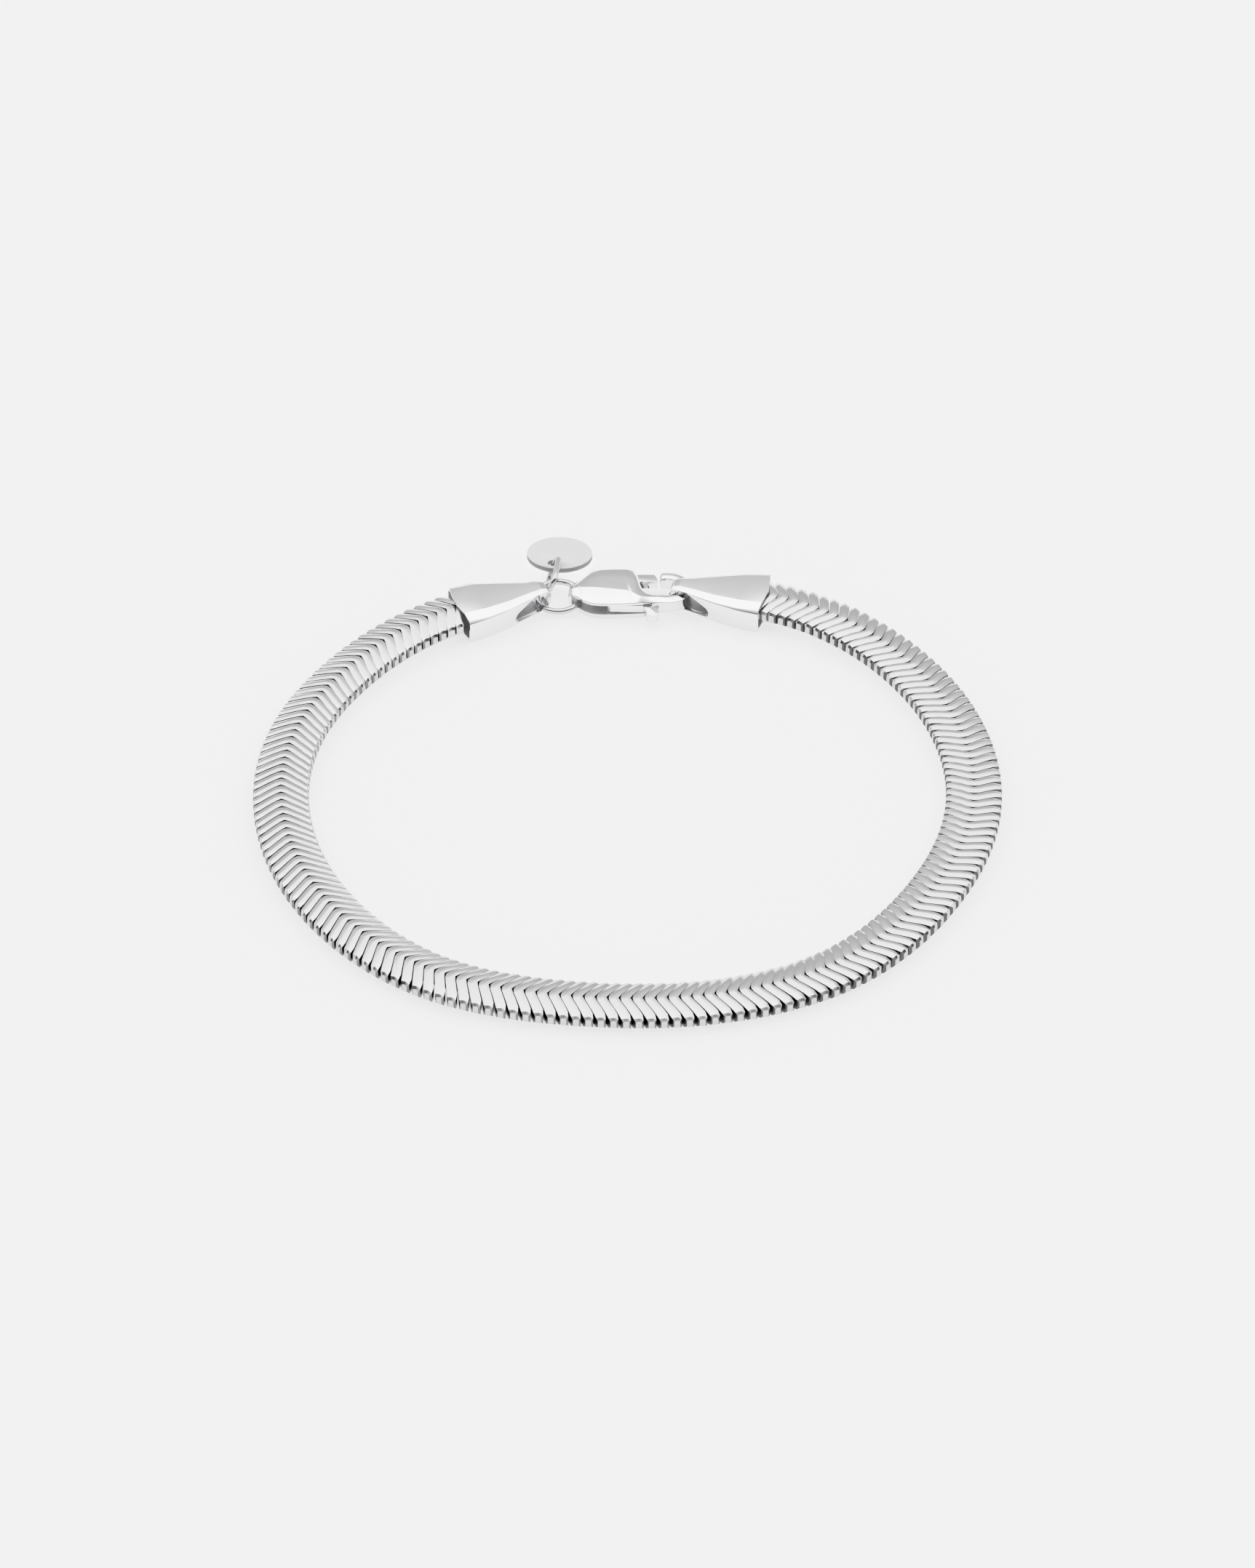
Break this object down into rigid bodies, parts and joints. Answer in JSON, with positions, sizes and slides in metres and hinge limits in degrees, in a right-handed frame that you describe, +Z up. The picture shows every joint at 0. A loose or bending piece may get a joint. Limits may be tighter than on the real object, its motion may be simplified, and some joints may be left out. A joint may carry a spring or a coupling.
{
  "type": "herringbone chain bracelet",
  "caption": "Closed bracelet of nested V-shaped links with tapered end caps, a lobster clasp on a jump ring, and a small plain disc tag.",
  "frame": {"origin": "under the middle of the whole bracelet's box, on the surface that it lies on", "axes": "+Z is up from that surface, +Y runs from the front of the loop to the clasp, +X to the right of somebody who looks at it with the clasp at the back"},
  "size_m": [0.0632, 0.0678, 0.0027],
  "materials": {
    "polished_silver": "polished"
  },
  "bodies": {
    "bracelet": {"chain": "polished_silver", "end_cap_left": "polished_silver", "end_cap_right": "polished_silver", "jump_ring": "polished_silver", "clasp_body": "polished_silver", "clasp_pin": "polished_silver", "tag": "polished_silver", "tag_ring": "polished_silver"},
    "lever": {"clasp_lever": "polished_silver"}
  },
  "joints": [
    {"name": "clasp_lever_hinge", "type": "hinge", "parent": "bracelet", "child": "lever", "pos_m": [0.00031, 0.02585, 0.00093], "axis": [0, 0, -1], "range_deg": [0, 32], "stiffness_Nm_per_rad": 0.0008, "springref_deg": -11.46}
  ]
}
